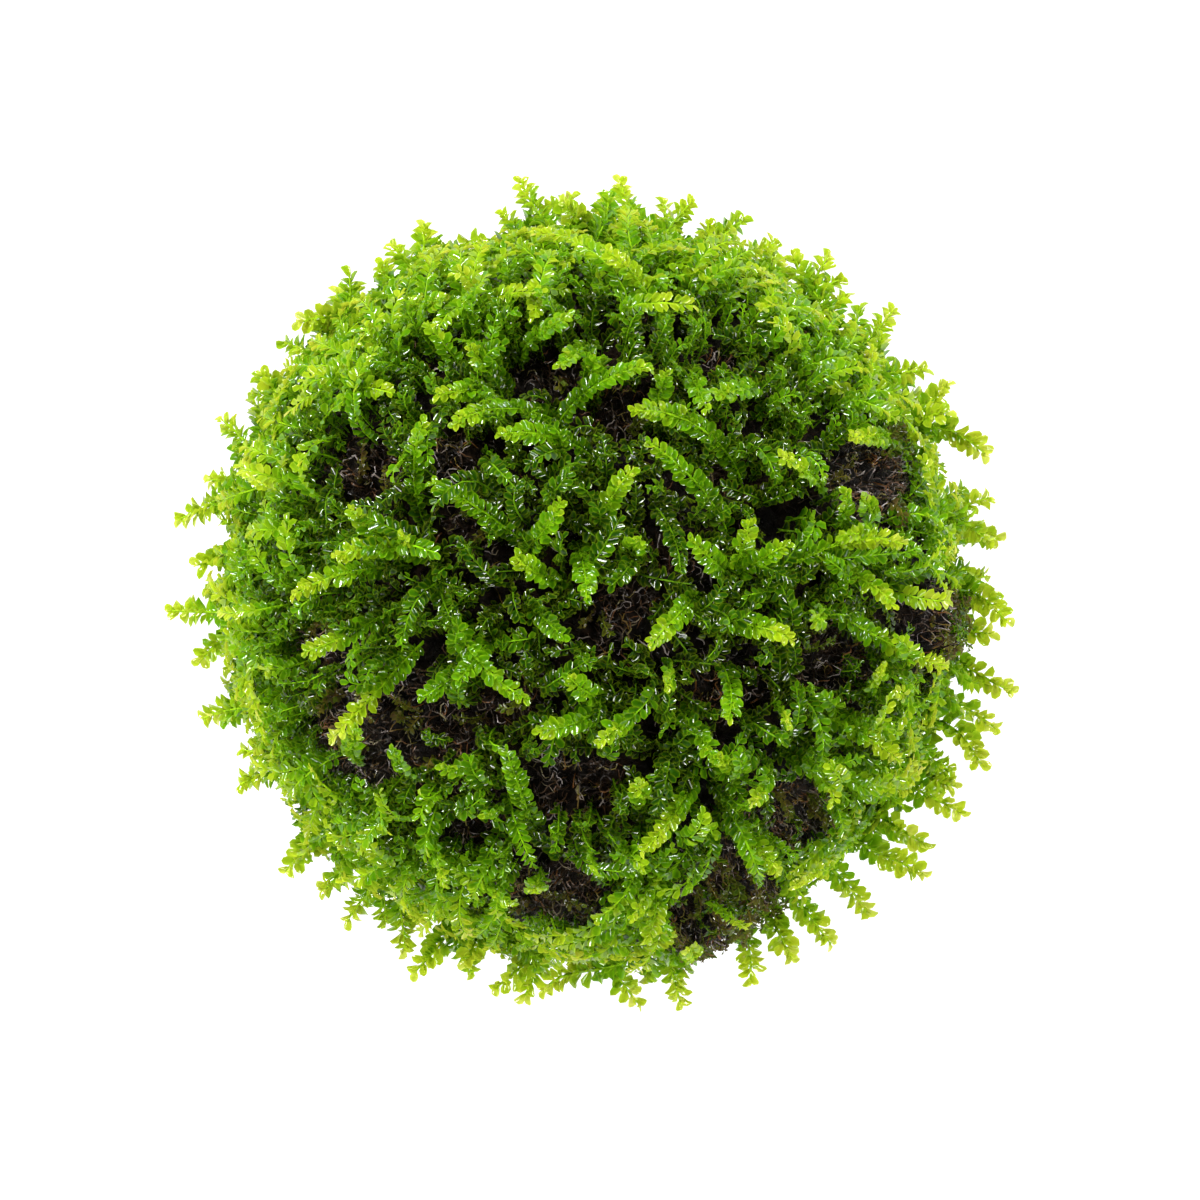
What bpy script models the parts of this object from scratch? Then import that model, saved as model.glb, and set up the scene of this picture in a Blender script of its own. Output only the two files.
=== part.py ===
"""A leafy moss ball: tufts of moss shoots rooted all round a lumpy core of peat and matted rhizoids.

Metres, +Z up. The origin is the centre of the small flat spot that the ball rests on, with the ball's centre
straight above it. Each tuft is one plant, and its solid reaches the tips of its shoots. Bare core is left
between some of the tufts.
"""

import math
import random

import bmesh
import bpy
from mathutils import Matrix, Vector, noise

MM = 0.001

# Driving dimensions
BALL_RADIUS = 40.1 * MM  # centre of the ball to the tips of its longest shoots
CORE_RADIUS = 32.0 * MM  # mean radius of the peat core
REST_HEIGHT = 36.4 * MM  # centre of the ball above the surface that it rests on
SEAT_GAP = 0.6 * MM  # tuft to core, so that their facets stay clear of each other
TUFT_GAP = 0.9 * MM  # tuft to tuft
FLOOR_CLEARANCE = 0.5 * MM  # every tuft but the base one stays this far above the surface

# The core
LUMP_HEIGHT = 1.5 * MM
LUMP_LENGTH = 24.0 * MM
LUMP_SEED = Vector((3.7, 1.9, 8.2))
CORE_SUBDIVISIONS = 4

# Where the peat swells out between the tufts: x and y as seen from above, in millimetres from the ball's
# centre, then how far it rises and how wide it is
MOUNDS = (
    (12.0, -33.0, 3.6, 7.0),
    (33.5, -3.5, 2.6, 5.0),
    (-20.0, -12.0, 1.8, 8.0),
    (27.0, 11.5, 1.4, 6.0),
)

# A tuft, as heights above the core and as shares of the way out to its edge
LEAST_SHOOTS = 7
MOST_SHOOTS = 9
CREST_HEIGHT = 5.2 * MM  # the middle of the tuft, over its root
NOTCH_HEIGHT = 3.0 * MM  # between two shoots, at the edge
SHOOT_THICKNESS = 1.6 * MM
SHORTEST_SHOOT = 0.965  # of BALL_RADIUS
SEAT_SHARE = 0.5
NOTCH_SHARE = 0.78
SHOULDER_SHARE = 0.5

# The base tuft, pressed flat by the ball's weight
BASE_FOOT = 11.5 * MM
BASE_SHOOTS = 9

BALL_CENTRE = Vector((0, 0, REST_HEIGHT))
MOSS_ROOT_RADIUS = 36.0 * MM  # the sphere on which the roots below are laid out

# Roots of the tufts on the upper side, as seen from above, in millimetres from the ball's centre. The wide
# spaces that they leave are the places where the core is bare.
UPPER_REACH = 9.8 * MM  # root to shoot tips, measured along the ball's surface
UPPER_ROOTS = (
    (-3.0, 30.0), (12.0, 27.5), (22.5, 21.0), (30.5, 5.5), (29.0, -14.0), (26.0, -24.0),
    (3.5, -29.5), (-13.5, -27.5), (-26.0, -18.5), (-31.0, 0.0), (-27.5, 13.5), (-18.0, 24.5),
    (-11.0, 17.5), (6.5, 18.5), (17.0, 10.5), (19.0, -0.5), (17.0, -15.5), (6.5, -20.5),
    (-9.5, -17.5), (-17.5, -3.0), (-20.0, 7.0), (-6.5, 4.0), (3.5, 9.5), (-1.0, -10.5),
    (9.5, -3.0),
)

# Rings of tufts below them: name, number of tufts, elevation and first bearing in degrees
LOWER_REACH = 12.0 * MM
LOWER_RINGS = (
    ("rim", 13, 1.0, 8.0),
    ("low", 12, -26.0, 22.0),
    ("under", 7, -54.0, 5.0),
)


def from_bearing(bearing, elevation):
    """The direction at this bearing from +X and this elevation above the horizon, both in degrees."""
    b, e = math.radians(bearing), math.radians(elevation)
    return Vector((math.cos(b) * math.cos(e), math.sin(b) * math.cos(e), math.sin(e)))


def from_above(x, y):
    """The direction of a root on the upper side that is seen at x, y millimetres from above."""
    radius = MOSS_ROOT_RADIUS / MM
    return Vector((x, y, math.sqrt(radius * radius - x * x - y * y))).normalized()


def tuft_roots():
    """Each tuft's name and the direction of its root from the ball's centre."""
    roots = {
        f"moss_tuft_top_{i:02d}": from_above(*place)
        for i, place in enumerate(UPPER_ROOTS, 1)
    }
    for ring, count, elevation, first in LOWER_RINGS:
        for i in range(count):
            bearing = first + 360.0 * i / count
            roots[f"moss_tuft_{ring}_{i + 1:02d}"] = from_bearing(bearing, elevation)
    roots["moss_tuft_base"] = Vector((0, 0, -1))
    return roots


def core_radius(direction):
    """The peat's radius in a direction: a sphere with low, rounded lumps and a few broad mounds."""
    place = direction * (CORE_RADIUS / LUMP_LENGTH) + LUMP_SEED
    radius = CORE_RADIUS + LUMP_HEIGHT * noise.noise(place)
    for x, y, rise, width in MOUNDS:
        away = (direction - from_above(x, y)).length * CORE_RADIUS / (width * MM)
        radius += rise * MM * math.exp(-away * away)
    return radius


def above_floor(point):
    """The point, drawn in towards the ball's centre if it would come too near the floor."""
    arm = point - BALL_CENTRE
    lowest = FLOOR_CLEARANCE - REST_HEIGHT
    if arm.z < lowest:
        arm *= lowest / arm.z
    return BALL_CENTRE + arm


def in_cell(root, others, heading, reach):
    """How far a tuft may spread from its root along heading, as an angle: its reach, or its half of the gap
    to the nearest other tuft. Every tuft keeps to its own side of the plane midway between two roots."""
    spread = reach / MOSS_ROOT_RADIUS
    for other in others:
        towards = heading.dot(other)
        if towards > 0:
            midway = math.atan2(1 - root.dot(other), towards)
            spread = min(spread, midway - TUFT_GAP / 2 / MOSS_ROOT_RADIUS)
    return spread


def on_sphere(root, heading, angle, radius):
    """The point at this angle from a root, towards heading, and this far from the ball's centre."""
    direction = root * math.cos(angle) + heading * math.sin(angle)
    return BALL_CENTRE + direction * radius


def over_core(root, heading, angle, height):
    """The same, but at this height above the core's own surface there."""
    direction = root * math.cos(angle) + heading * math.sin(angle)
    return BALL_CENTRE + direction * (core_radius(direction) + height)


def skin(rings, under, over):
    """A closed mesh from rings of points, with one point that closes the first and one that closes the last."""
    built = bmesh.new()
    rows = [[built.verts.new(point) for point in ring] for ring in rings]
    bottom, top = built.verts.new(under), built.verts.new(over)
    count = len(rows[0])
    for i in range(count):
        j = (i + 1) % count
        built.faces.new((bottom, rows[0][j], rows[0][i]))
        for lower, upper in zip(rows, rows[1:]):
            built.faces.new((lower[i], lower[j], upper[j], upper[i]))
        built.faces.new((rows[-1][i], rows[-1][j], top))
    bmesh.ops.recalc_face_normals(built, faces=built.faces)
    return built


def tangent_frame(root):
    """Two directions square to the root and to each other."""
    across = root.orthogonal().normalized()
    return across, root.cross(across)


def tuft_mesh(root, others, reach, chance):
    """A tuft: it sits on the core over a narrow seat and flares out into shoots, with notches between."""
    shoots = chance.randint(LEAST_SHOOTS, MOST_SHOOTS)
    turn = chance.uniform(0, math.tau)
    across, along = tangent_frame(root)
    seat, lip, edge, shoulder = [], [], [], []
    for i in range(2 * shoots):
        bearing = turn + math.pi * i / shoots
        heading = across * math.cos(bearing) + along * math.sin(bearing)
        spread = in_cell(root, others, heading, reach)
        seat.append(over_core(root, heading, spread * SEAT_SHARE, SEAT_GAP))
        if i % 2:
            notch = spread * NOTCH_SHARE
            lip.append(over_core(root, heading, notch * 0.98, NOTCH_HEIGHT * 0.5))
            edge.append(over_core(root, heading, notch, NOTCH_HEIGHT))
            shoulder.append(
                over_core(root, heading, notch * SHOULDER_SHARE, CREST_HEIGHT * 0.8)
            )
        else:
            tip = BALL_RADIUS * chance.uniform(SHORTEST_SHOOT, 1.0)
            lip.append(on_sphere(root, heading, spread * 0.97, tip - SHOOT_THICKNESS))
            edge.append(on_sphere(root, heading, spread, tip))
            shoulder.append(
                over_core(root, heading, spread * SHOULDER_SHARE, CREST_HEIGHT * 1.1)
            )
    rings = [[above_floor(point) for point in ring] for ring in (seat, lip, edge, shoulder)]
    under = over_core(root, across, 0, SEAT_GAP)
    over = above_floor(over_core(root, across, 0, CREST_HEIGHT))
    return skin(rings, under, over)


def base_mesh():
    """The tuft under the ball. Its shoots lie spread on the surface, so its underside is flat at z = 0."""
    root = Vector((0, 0, -1))
    seat, upper, foot, inner = [], [], [], []
    for i in range(2 * BASE_SHOOTS):
        bearing = math.pi * i / BASE_SHOOTS
        heading = Vector((math.cos(bearing), -math.sin(bearing), 0))
        out = BASE_FOOT * (NOTCH_SHARE if i % 2 else 1.0)
        angle = math.atan2(out * SEAT_SHARE, CORE_RADIUS)
        seat.append(over_core(root, heading, angle, SEAT_GAP))
        upper.append(heading * out * 0.99 + Vector((0, 0, SHOOT_THICKNESS)))
        foot.append(heading * out)
        inner.append(heading * out * SHOULDER_SHARE)
    under = over_core(root, Vector((1, 0, 0)), 0, SEAT_GAP)
    return skin([seat, upper, foot, inner], under, Vector((0, 0, 0)))


def core_mesh():
    built = bmesh.new()
    bmesh.ops.create_icosphere(built, subdivisions=CORE_SUBDIVISIONS, radius=1.0)
    for vertex in built.verts:
        direction = vertex.co.normalized()
        vertex.co = BALL_CENTRE + direction * core_radius(direction)
    bmesh.ops.recalc_face_normals(built, faces=built.faces)
    return built


def finish(name, colour, roughness):
    material = bpy.data.materials.new(name)
    material.use_nodes = True
    shader = material.node_tree.nodes["Principled BSDF"]
    shader.inputs["Base Color"].default_value = (*colour, 1.0)
    shader.inputs["Roughness"].default_value = roughness
    shader.inputs["Metallic"].default_value = 0.0
    material.diffuse_color = (*colour, 1.0)
    return material


def place(name, built, seat, outward, material, ball):
    """Makes the object, with its origin at its seat and its +Z pointing out of the ball."""
    turned = outward.to_track_quat("Z", "Y").to_matrix().to_4x4()
    frame = Matrix.Translation(seat) @ turned
    bmesh.ops.transform(built, matrix=frame.inverted(), verts=built.verts)
    mesh = bpy.data.meshes.new(name)
    built.to_mesh(mesh)
    built.free()
    mesh.materials.append(material)
    piece = bpy.data.objects.new(name, mesh)
    bpy.context.collection.objects.link(piece)
    piece.location = seat
    piece.rotation_mode = "QUATERNION"
    piece.rotation_quaternion = outward.to_track_quat("Z", "Y")
    piece.parent = ball
    return piece


def moss_colour(root, chance):
    """Fresh yellow-green round the rim, deeper green on top and below."""
    rim = 1.0 - abs(root.z)
    shade = chance.uniform(0.85, 1.15)
    return (
        (0.10 + 0.16 * rim) * shade,
        (0.30 + 0.20 * rim) * shade,
        0.02,
    )


def main():
    for old in list(bpy.data.objects):
        bpy.data.objects.remove(old)
    ball = bpy.data.objects.new("moss_ball", None)
    bpy.context.collection.objects.link(ball)

    peat = finish("peat", (0.045, 0.030, 0.018), 0.9)
    core = place("peat_core", core_mesh(), BALL_CENTRE, Vector((0, 0, 1)), peat, ball)
    core.data.shade_smooth()

    roots = tuft_roots()
    for number, (name, root) in enumerate(roots.items()):
        chance = random.Random(number)
        others = [other for label, other in roots.items() if label != name]
        reach = UPPER_REACH if "_top_" in name else LOWER_REACH
        if name == "moss_tuft_base":
            built = base_mesh()
        else:
            built = tuft_mesh(root, others, reach, chance)
        moss = finish(name, moss_colour(root, chance), 0.45)
        seat = BALL_CENTRE + root * core_radius(root)
        place(name, built, seat, root, moss, ball)


main()
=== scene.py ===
"""The looks of the moss ball: leafy shoots on a wet core of peat that is matted with rhizoids.

Everything is in metres in the CAD's frame, and places on the ball are counted from its centre. The shoots
that give the ball its look from above are listed. The rest grow by rule, from seeded numbers. Each shoot
belongs to the CAD tuft that lies nearest to its root, so that one piece stands for each tuft.
"""

import math

import bmesh
import bpy
import numpy as np
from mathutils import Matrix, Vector, noise
from mathutils.bvhtree import BVHTree


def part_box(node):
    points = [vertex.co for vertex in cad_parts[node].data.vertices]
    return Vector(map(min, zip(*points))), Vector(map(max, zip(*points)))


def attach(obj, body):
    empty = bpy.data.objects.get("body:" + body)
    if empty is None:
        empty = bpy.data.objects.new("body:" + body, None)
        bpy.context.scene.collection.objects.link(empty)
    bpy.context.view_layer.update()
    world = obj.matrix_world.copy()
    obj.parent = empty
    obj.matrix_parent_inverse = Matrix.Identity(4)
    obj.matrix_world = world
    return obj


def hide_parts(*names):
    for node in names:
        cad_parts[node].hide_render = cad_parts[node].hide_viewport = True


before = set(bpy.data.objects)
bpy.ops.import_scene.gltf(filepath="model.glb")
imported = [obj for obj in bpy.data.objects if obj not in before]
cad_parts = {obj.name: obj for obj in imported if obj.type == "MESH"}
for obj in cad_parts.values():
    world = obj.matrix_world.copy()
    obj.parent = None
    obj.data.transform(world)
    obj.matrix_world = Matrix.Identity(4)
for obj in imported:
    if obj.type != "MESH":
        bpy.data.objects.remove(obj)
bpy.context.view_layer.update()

MM = 0.001
CORE_NODE = "peat_core"
TUFT_NODES = sorted(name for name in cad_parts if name.startswith("moss_tuft_"))
core_low, core_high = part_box(CORE_NODE)
CENTRE = np.array((0.0, 0.0, (core_low.z + core_high.z) / 2))
UP = np.array((0.0, 0.0, 1.0))
CAMERA_DISTANCE = 315 * MM  # from the ball's centre, straight above it
CAMERA_LENS = 100.0
CAMERA_ASIDE = (0.8 * MM, -0.76 * MM)  # the ball is a little left of the picture's middle, and above it
FLOOR_FILM = 0.12 * MM  # the least height of a leaf above the floor
FLOOR_SQUEEZE = 0.7 * MM  # below this height, leaves are pressed flat
PEAT_RADIUS = 33 * MM  # roughly, from the ball's centre to the surface of the peat
PATCH_RADIUS = 34 * MM  # to the level at which the moss ends round a bare patch
MOSS_RADIUS = 36 * MM  # roughly, to the top of the moss
ROOT_DEPTH = 0.3 * MM  # how far a stem goes into the peat

LEAF_LENGTH = 1.4 * MM  # of a leaf of size 1
LEAF_PITCH = 0.27  # from one leaf to the next along a stem, in leaf lengths
LEAF_WIDTHS = (0.60, 0.74)  # of the narrowest and the widest leaf, in leaf lengths
LEAF_SPREAD = 64  # degrees between a leaf and its stem, at the root
LEAF_SPREAD_LOST = 16  # how many of them are lost on the way to the tip
LEAF_TILT = 0.30  # radians by which leaves are turned about their own length
LEAF_CUP = 0.26  # how far a leaf's sides rise, in leaf lengths
LEAF_CURL = 0.08  # how far its tip falls, in leaf lengths
LEAF_GAP = 0.06 * MM  # from the middle of the stem to the leaf's base
STEM_RADII = (0.17 * MM, 0.10 * MM)  # at the root and at the tip, for leaves of size 1
BARE_BASE = 0.08  # the share of a shoot, at its root, that has no leaves
TIP_INSET = 0.3 * MM  # a stem ends this far inside its shoot's tip, because leaves reach past it

RIM_SIZES = (1.08, 1.24)  # of the leaves of shoots at the rim
RIM_HEIGHTS = (-4.0, 7.0)  # of the tips of those shoots, from the ball's centre, in millimetres
ROLL = 0.22  # radians by which the face of a listed shoot is turned, up or down, in most cases
TOP_LEAVES = 0.55  # the size of the small leaves on a stem, in the size of its other leaves

FRINGE_COUNT = 92  # shoots round the rim, between the listed ones
FRINGE_TIPS = (35.3, 38.4)  # how far out they reach, in millimetres
FRINGE_BASES = (28.5, 31.0)  # where they leave the mass of the moss
FILL_COUNT = 6200  # places for shoots in the mass of the moss
LITTER_SHARE = 0.22  # the share of those places on a bare patch that get short shoots
RHIZOID_COUNT = 11000
RHIZOID_WIDTHS = (0.06, 0.15)  # in millimetres
RHIZOIDS_HIDDEN = 0.86  # the share of the rhizoids under the moss that is left out

RNG = np.random.default_rng(20)

# Shoots that stand out of the rim, clockwise from the top, in millimetres from the ball's centre as seen
# from above: tip x and y, then x and y where the shoot leaves the mass of the moss
RIM_SHOOTS = (
    (-6.8, 39.2, -3.5, 31.0), (-8.5, 36.0, -6.0, 32.5), (-3.0, 37.0, 0.0, 34.0), (1.3, 37.5, 1.0, 34.0),
    (2.7, 39.2, 3.0, 33.0), (7.0, 37.0, 6.0, 33.0), (8.2, 35.0, 7.0, 31.0), (11.0, 35.0, 11.0, 30.5),
    (13.2, 34.5, 11.0, 31.0), (17.2, 33.5, 16.0, 29.0), (22.5, 32.0, 20.0, 27.0), (24.2, 28.2, 21.0, 25.0),
    (28.7, 26.8, 25.0, 23.0), (31.8, 21.0, 27.0, 20.0), (33.7, 19.7, 31.0, 16.0), (34.0, 17.0, 31.0, 16.0),
    (37.5, 13.0, 31.0, 14.5), (37.8, 9.0, 34.0, 8.0), (38.7, 5.0, 35.0, 5.5), (37.7, 1.5, 33.0, 1.5),
    (39.5, -3.0, 36.0, -1.0), (38.0, -4.0, 34.0, -3.5), (40.0, -9.5, 34.0, -5.5),
    (38.5, -13.0, 34.5, -10.5), (37.0, -16.5, 34.0, -14.0), (35.2, -21.0, 31.0, -19.0),
    (34.5, -18.5, 30.5, -16.5), (32.0, -24.0, 28.0, -21.5), (31.6, -26.7, 26.0, -24.5),
    (26.3, -30.5, 23.0, -27.0), (22.8, -33.5, 20.0, -30.0), (19.0, -35.0, 18.0, -32.0),
    (15.0, -37.0, 15.0, -35.0), (8.5, -39.2, 8.0, -36.0), (4.7, -39.2, 1.0, -35.0),
    (-4.8, -38.0, 2.5, -28.0), (-6.5, -38.7, -6.0, -36.0), (-9.3, -37.6, -6.5, -35.0),
    (-12.0, -35.5, -10.5, -32.0), (-17.0, -36.2, -14.0, -33.0), (-17.7, -34.2, -18.0, -28.0),
    (-23.3, -31.3, -21.0, -28.0), (-25.5, -28.5, -22.5, -25.0), (-29.0, -26.5, -26.0, -23.0),
    (-33.5, -18.3, -28.0, -17.5), (-33.3, -15.0, -29.0, -14.5), (-36.8, -12.0, -32.0, -10.0),
    (-37.2, -6.7, -33.5, -4.0), (-40.0, -1.8, -33.0, -2.0), (-37.5, 2.3, -34.0, 4.0),
    (-39.2, 6.8, -28.0, 8.5), (-36.5, 10.5, -31.0, 10.5), (-35.2, 16.5, -31.0, 13.0),
    (-31.5, 20.7, -28.0, 18.0), (-28.0, 23.0, -24.0, 21.0), (-28.0, 25.5, -24.0, 25.0),
    (-24.3, 28.8, -22.0, 25.5), (-21.0, 28.3, -18.5, 25.0), (-19.0, 33.0, -16.5, 28.5),
    (-15.8, 35.0, -16.5, 28.5), (-12.0, 33.2, -8.0, 32.0), (-15.0, 31.0, -12.0, 28.5),
)

# Shoots that lie over the face of the ball: tip x and y, root x and y, how far the middle bows to the left
# as one looks from root to tip, all in millimetres, and how fresh the shoot is, from 0 to 1
FACE_SHOOTS = (
    (1.3, 32.3, 8.0, 25.5, 0.3, 0.9), (-14.0, 27.5, -18.0, 24.5, 0.4, 0.7),
    (-2.0, 26.0, -8.0, 23.3, -0.6, 0.7), (-5.0, 28.0, -1.5, 26.0, 0.3, 0.6),
    (-3.0, 21.2, 0.0, 25.5, 0.6, 0.75), (-14.5, 18.5, -8.0, 20.0, 0.5, 0.8),
    (-11.5, 23.0, -8.0, 20.0, 0.3, 0.75), (5.7, 21.0, -4.0, 16.2, 0.8, 0.75),
    (0.5, 22.0, 0.0, 18.8, 0.2, 0.6), (-13.0, 15.5, -2.0, 17.0, -1.1, 0.85),
    (-8.5, 14.7, 1.0, 13.2, -0.5, 0.8), (7.2, 20.7, 6.2, 16.5, 0.2, 0.7),
    (11.0, 17.2, 9.5, 22.5, -0.4, 0.7), (11.8, 18.6, 17.0, 20.5, 0.5, 0.75),
    (4.0, 17.0, 15.5, 10.0, -1.6, 0.85), (5.5, 14.0, 14.0, 5.0, -0.3, 0.75),
    (4.0, 11.5, 0.0, 4.3, 0.4, 0.95), (-2.8, 8.5, -7.5, 3.5, -0.8, 0.85), (-7.0, 3.3, -2.0, 1.0, 0.6, 0.95),
    (-15.0, 10.2, -6.0, 4.2, -0.4, 0.75), (-15.7, 16.0, -16.5, 6.0, 0.4, 0.7),
    (-0.4, -0.6, -1.5, 5.0, 0.3, 0.9), (4.5, 5.0, 3.6, 3.2, 0.0, 0.9), (2.0, 0.5, 5.0, 5.0, 0.3, 0.35),
    (8.5, 2.0, 6.0, 9.0, 0.3, 0.3), (-4.3, 9.0, 0.0, 12.0, 0.3, 0.3), (18.0, 12.7, 23.0, 10.0, 0.5, 0.9),
    (24.0, 9.5, 24.0, 5.0, 0.3, 0.7), (25.5, 8.7, 27.0, 5.5, -0.2, 0.7),
    (24.5, 14.5, 31.0, 15.5, 0.5, 0.85), (-24.0, 3.2, -14.0, 3.0, -0.8, 0.9),
    (-28.0, -0.5, -18.0, 2.5, -0.6, 0.9), (-27.0, -5.7, -19.5, -1.5, 0.6, 0.85),
    (-24.5, -14.0, -17.0, -5.0, 0.5, 1.0), (-6.0, -10.2, -15.5, 4.5, -1.7, 0.8),
    (-17.5, 5.3, -16.8, 3.6, 0.0, 0.9), (-22.5, 7.8, -18.0, 4.0, 0.3, 0.8),
    (-22.0, -13.0, -23.0, -17.0, 0.2, 0.7), (-2.5, -4.5, -7.0, -1.0, 0.3, 0.6),
    (-2.0, -8.0, 2.0, -10.5, 0.3, 0.9), (-5.0, -13.0, 2.0, -10.5, 0.4, 0.85),
    (0.8, -14.3, 5.0, -11.0, -0.3, 0.95), (-8.0, -15.0, -5.0, -24.0, -0.4, 0.6),
    (-14.0, -16.5, -9.0, -16.0, 0.3, 0.75), (-13.7, -27.7, -15.5, -21.5, 0.5, 0.8),
    (-7.3, -29.3, -12.0, -24.0, -0.5, 0.7), (-5.3, -28.0, -4.8, -26.6, 0.0, 0.8),
    (-10.0, -21.0, -7.5, -20.0, 0.2, 0.6), (5.0, -24.5, 10.5, -17.5, -0.4, 0.95),
    (4.3, -18.0, 6.0, -21.0, 0.2, 0.85), (5.0, -26.0, 1.5, -22.5, 0.3, 0.7),
    (5.0, -33.0, 6.5, -26.5, 0.4, 0.9), (3.8, -30.8, 6.5, -26.5, -0.3, 0.85),
    (9.3, -33.5, 9.0, -32.0, 0.0, 0.85), (14.7, -31.5, 10.5, -29.0, -0.4, 0.85),
    (17.7, -26.6, 12.0, -21.5, 0.5, 0.85), (11.5, -16.0, 8.5, -11.5, 0.3, 0.7),
    (13.0, -12.0, 13.0, -7.0, 0.2, 0.75), (7.0, -9.0, 7.8, -7.5, 0.0, 0.95),
    (0.7, -26.5, 0.0, -24.0, 0.2, 0.7), (5.7, -5.0, 11.0, 0.0, -0.3, 1.0),
    (19.0, -4.7, 12.0, -3.0, 0.5, 1.0), (9.5, 4.8, 13.5, 1.5, 0.4, 0.85), (18.7, 4.4, 13.5, 1.0, 0.4, 0.85),
    (15.0, 6.5, 13.5, 1.5, 0.2, 0.9), (29.5, 4.5, 17.0, 0.5, 1.8, 0.95), (28.5, -1.5, 22.0, 3.0, 0.5, 0.85),
    (33.5, -7.0, 23.0, -1.0, -1.0, 0.95), (29.0, -16.0, 21.0, -11.5, 0.5, 0.95),
    (19.0, -27.7, 30.0, -20.5, -0.3, 0.9), (18.5, -12.5, 17.8, -11.0, 0.0, 0.9),
    (21.0, -3.0, 22.5, -1.0, 0.1, 0.8), (27.3, -7.0, 26.5, -10.0, 0.2, 0.85),
    (12.0, -15.5, 16.5, -17.5, 0.3, 0.85), (15.0, -20.0, 17.5, -16.0, 0.2, 0.85),
    (-18.5, -15.0, -15.5, -18.5, 0.2, 0.6), (-16.0, -10.0, -11.5, -6.5, 0.3, 0.6),
    (-12.5, -8.5, -9.0, -3.0, 0.3, 0.65),
)

# Where the core is bare: centre x and y, and half the width and height, in the same millimetres. Each of
# the factors is the size that the patches have for the roots, shoots or threads that it is named after.
PATCH_FOR_ROOTS = 0.85
PATCH_FOR_SHOOTS = 0.72
PATCH_FOR_FRINGE = 0.90
PATCH_FOR_RHIZOIDS = 1.10
LOWEST_PATCH = -8 * MM  # below this height, from the ball's centre, no patch counts
BARE_PATCHES = (
    (-3.5, 21.0, 4.0, 2.5), (3.0, 17.5, 3.0, 3.0), (26.5, 11.5, 4.5, 5.0), (12.0, 22.0, 2.5, 1.5),
    (-21.0, 12.0, 3.5, 3.0), (-13.0, 12.5, 3.0, 2.5), (-12.0, 6.0, 3.0, 2.0), (3.0, -2.5, 4.0, 3.5),
    (8.0, 3.0, 2.5, 2.0), (-19.5, -13.0, 9.5, 5.5), (-8.0, -11.0, 3.0, 2.5), (-3.0, -28.5, 6.0, 3.0),
    (13.0, -31.0, 6.0, 6.0), (23.5, -6.5, 4.0, 3.5), (32.0, -3.0, 3.5, 3.0), (20.0, -21.5, 4.0, 3.0),
    (13.0, -9.0, 5.0, 3.0), (-2.0, -18.5, 5.0, 3.0), (-11.0, -22.0, 3.0, 2.0), (-26.0, -5.0, 2.5, 2.0),
    (12.5, 11.5, 2.0, 2.0),
)


def unit(vectors):
    """Vectors along the last axis, scaled to length 1."""
    return vectors / np.linalg.norm(vectors, axis=-1, keepdims=True)


# ---------------------------------------------------------------- places on the ball

core_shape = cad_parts[CORE_NODE].data
core_tree = BVHTree.FromPolygons(
    [v.co.copy() for v in core_shape.vertices], [tuple(p.vertices) for p in core_shape.polygons]
)


RELIEF_RADIUS = 32.0  # of the sphere on which the peat's relief is laid out, in millimetres
LUMP_WIDTH, LUMP_HEIGHT = 5.0, 0.60
CRUMB_WIDTH, CRUMB_HEIGHT = 1.9, 1.5
CRUMB_TOP = 0.45  # where crumbs are cut level, as a share of their height
PIT_DEPTH = 0.45


def crumble(direction):
    """The fine relief of the peat in a direction: lumps, crumbs and the pits between them."""
    place = Vector(direction) * RELIEF_RADIUS
    lumps = noise.fractal(place / LUMP_WIDTH, 0.9, 2.1, 4)
    near, next_near = noise.voronoi(place / CRUMB_WIDTH)[0][:2]
    crumbs = min(next_near - near, CRUMB_TOP)
    return (LUMP_HEIGHT * lumps + CRUMB_HEIGHT * crumbs - PIT_DEPTH) * MM


def ground(direction):
    """Distance from the ball's centre to the surface of the peat."""
    far = core_tree.ray_cast(Vector(CENTRE), Vector(direction))[3]
    return far + crumble(direction)


def seen_at(x, y, radius):
    """The point at this radius that is seen from the camera at x, y millimetres in the level plane through
    the ball's centre. Past the ball's edge, the point is in that plane."""
    flat = np.array((x, y)) * MM
    height = 0.0
    for _ in range(6):
        place = flat * (1 - height / CAMERA_DISTANCE)
        height = math.sqrt(max(radius * radius - place @ place, 0.0))
    return np.array((*place, height))


def as_seen(points):
    """The reverse: x and y in millimetres of points counted from the centre."""
    return points[..., :2] / MM / (1 - points[..., 2:] / CAMERA_DISTANCE)


def on_bare_patch(points, grown):
    """Whether any of the points, seen from above, lies over a bare patch, with the patches grown by a factor.
    Points low on the ball don't count."""
    seen = as_seen(points)
    above = points[..., 2] > LOWEST_PATCH
    for x, y, wide, high in BARE_PATCHES:
        inside = ((seen[..., 0] - x) / (wide * grown)) ** 2 + ((seen[..., 1] - y) / (high * grown)) ** 2 < 1
        if np.any(inside & above):
            return True
    return False


# ---------------------------------------------------------------- meshes

class Leaf:
    """A flat leaf of length 1 and width 2: how far along, across and towards its edge each point is."""

    def __init__(self, points, faces):
        self.along, self.across, self.edge = np.array(points).T
        self.faces = np.array(faces)


def leaf_of_rows(rows, widths):
    """A leaf with rows across it, from the base to the tip, each of three points."""
    points = [(0.0, 0.0, 0.3)]
    faces = [(0, 2, 1), (0, 3, 2)]
    for row, (along, wide) in enumerate(zip(rows, widths)):
        points += [(along, -wide, 1.0), (along, 0.0, 0.0), (along, wide, 1.0)]
        if row:
            for left in (3 * row - 2, 3 * row - 1):
                faces += [(left, left + 1, left + 4), (left, left + 4, left + 3)]
    points.append((1.0, 0.0, 1.0))
    tip = len(points) - 1
    faces += [(tip - 3, tip - 2, tip), (tip - 2, tip - 1, tip)]
    return Leaf(points, faces)


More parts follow.
